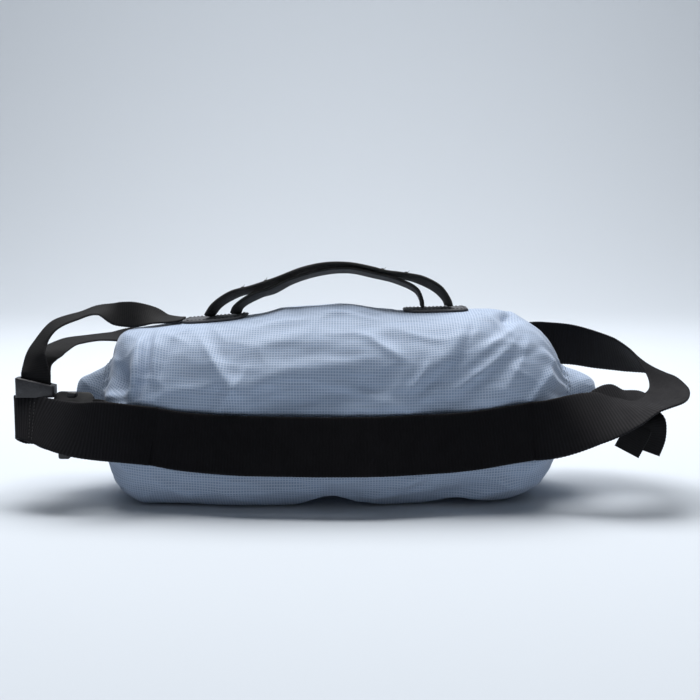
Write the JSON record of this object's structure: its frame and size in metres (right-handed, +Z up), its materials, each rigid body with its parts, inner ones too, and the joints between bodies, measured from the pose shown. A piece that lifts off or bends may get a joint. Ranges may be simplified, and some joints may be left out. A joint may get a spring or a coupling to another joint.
{
  "type": "hip pack",
  "caption": "Soft hip pack standing on its bottom, with a webbing carry handle, side straps and a waist belt buckled round it.",
  "frame": {"origin": "middle of the flat bottom that the pack stands on", "axes": "+X along the pack to its right end as seen from the belt side, +Y away from the belt side, +Z up"},
  "size_m": [0.479, 0.1484, 0.1682],
  "materials": {
    "ripstop_cloth": "pale grey-blue ripstop cloth with a fine darker grid",
    "zip_tape": "charcoal zip tape",
    "patch_cloth": "charcoal woven cloth",
    "handle_webbing": "black woven webbing",
    "belt_webbing": "black ribbed webbing",
    "hardware_plastic": "black moulded plastic",
    "keeper_plastic": "dark grey satin plastic"
  },
  "bodies": {
    "root": {"bag_body": "ripstop_cloth", "main_zip": "zip_tape", "zip_pull": "hardware_plastic", "handle_patch_left": "patch_cloth", "handle_patch_right": "patch_cloth", "handle_outer_strap": "handle_webbing", "handle_inner_strap": "handle_webbing", "waist_belt": "belt_webbing", "belt_doubled_end": "belt_webbing", "belt_slider": "hardware_plastic", "belt_tail_front": "belt_webbing", "belt_tail_rear": "belt_webbing", "buckle_male": "hardware_plastic", "buckle_female": "hardware_plastic", "buckle_anchor_strap": "belt_webbing", "strap_upper_left": "belt_webbing", "strap_lower_left": "belt_webbing", "strap_keeper": "keeper_plastic"}
  },
  "joints": []
}
